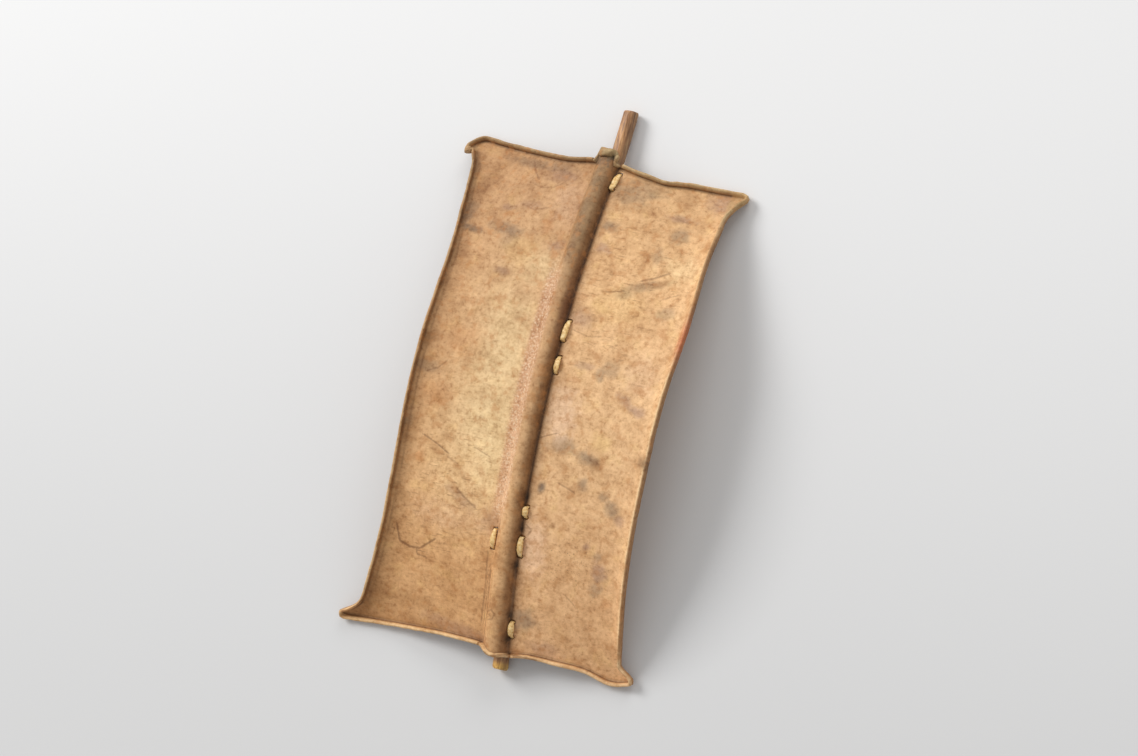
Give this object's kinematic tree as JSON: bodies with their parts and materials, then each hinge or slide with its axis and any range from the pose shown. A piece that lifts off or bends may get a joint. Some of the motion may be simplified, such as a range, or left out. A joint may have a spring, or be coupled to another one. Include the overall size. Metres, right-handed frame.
{
  "type": "hide shield",
  "caption": "Bowed rawhide shield with a hollow lengthwise ridge, upturned rims and drawn-out corners, tied with hide thongs to a whittled stick that serves as its grip.",
  "frame": {"origin": "centre of the bounding box in X and Y, at its base, where the four corners of the hide rest", "axes": "+X across the shield to the right as seen from its front, +Y along the shield towards the long free end of the stick, +Z out of the front face of the hide (upwards as it lies)"},
  "size_m": [0.457, 0.791, 0.1157],
  "materials": {
    "rawhide": "dry scraped rawhide, worn, stained",
    "stick_wood": "whittled, hand-polished",
    "thong": "translucent dried hide strip"
  },
  "bodies": {
    "root": {"hide": "rawhide", "stick": "stick_wood", "thong_top": "thong", "thong_grip_upper_outer": "thong", "thong_grip_upper_inner": "thong", "thong_grip_lower_inner": "thong", "thong_grip_lower_outer": "thong", "thong_lower_left": "thong", "thong_bottom": "thong"}
  },
  "joints": []
}
